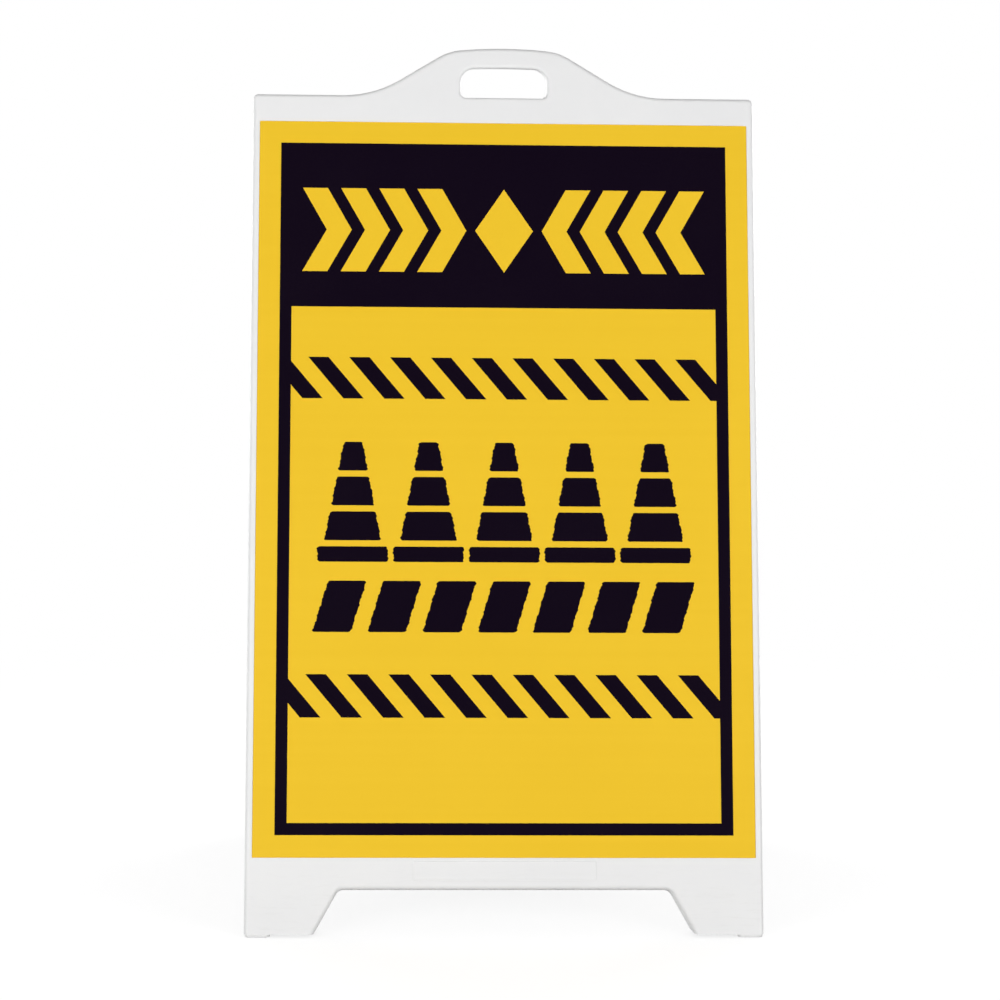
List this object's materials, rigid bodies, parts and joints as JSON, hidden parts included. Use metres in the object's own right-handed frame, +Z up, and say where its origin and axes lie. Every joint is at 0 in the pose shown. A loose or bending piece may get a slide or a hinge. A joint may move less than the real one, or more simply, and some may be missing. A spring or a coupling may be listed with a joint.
{
  "type": "a-frame sign",
  "caption": "Folding A-frame floor sign: hollow moulded leaves hinged at the top, each with a recessed sign board, a hand hole in a raised crown and padded legs.",
  "frame": {"origin": "on the floor, midway between the soles of the open sign", "axes": "+Z up, front board faces -Y, hinge along X"},
  "size_m": [0.627, 0.5894, 1.0691],
  "materials": {
    "white_plastic": "satin moulded",
    "tape_foam": "matte foam",
    "board_plastic": "smooth matte",
    "sign_print": "satin printed film",
    "print_black": "satin printed ink",
    "foot_rubber": "matte",
    "zinc_steel": "zinc plated",
    "plug_plastic": "satin moulded",
    "gasket_rubber": "matte"
  },
  "bodies": {
    "front_leaf": {"front_panel": "white_plastic", "front_board_tape": "tape_foam", "front_sign_board": "board_plastic", "front_sign_film": "sign_print", "front_left_foot": "foot_rubber", "front_right_foot": "foot_rubber", "right_hinge_bolt": "zinc_steel", "right_hinge_washers": "zinc_steel", "right_hinge_nut": "zinc_steel"},
    "back_leaf": {"back_panel": "white_plastic", "back_board_tape": "tape_foam", "back_sign_board": "board_plastic", "back_sign_film": "sign_print", "back_left_foot": "foot_rubber", "back_right_foot": "foot_rubber", "left_hinge_bolt": "zinc_steel", "left_hinge_washers": "zinc_steel", "left_hinge_nut": "zinc_steel"},
    "front_plug": {"front_fill_plug": "plug_plastic", "front_plug_gasket": "gasket_rubber"},
    "back_plug": {"back_fill_plug": "plug_plastic", "back_plug_gasket": "gasket_rubber"}
  },
  "joints": [
    {"name": "leaf_fold", "type": "hinge", "parent": "front_leaf", "child": "back_leaf", "pos_m": [0, 0, 0.98463], "axis": [-1, 0, 0], "range_deg": [0, 30]},
    {"name": "front_plug_turn", "type": "hinge", "parent": "front_leaf", "child": "front_plug", "pos_m": [0, -0.03252, 0.88257], "axis": [0, 0.9659, -0.2588], "range_deg": [0, 90]},
    {"name": "back_plug_turn", "type": "hinge", "parent": "back_leaf", "child": "back_plug", "pos_m": [0, 0.03252, 0.88257], "axis": [0, -0.9659, -0.2588], "range_deg": [0, 90]}
  ]
}
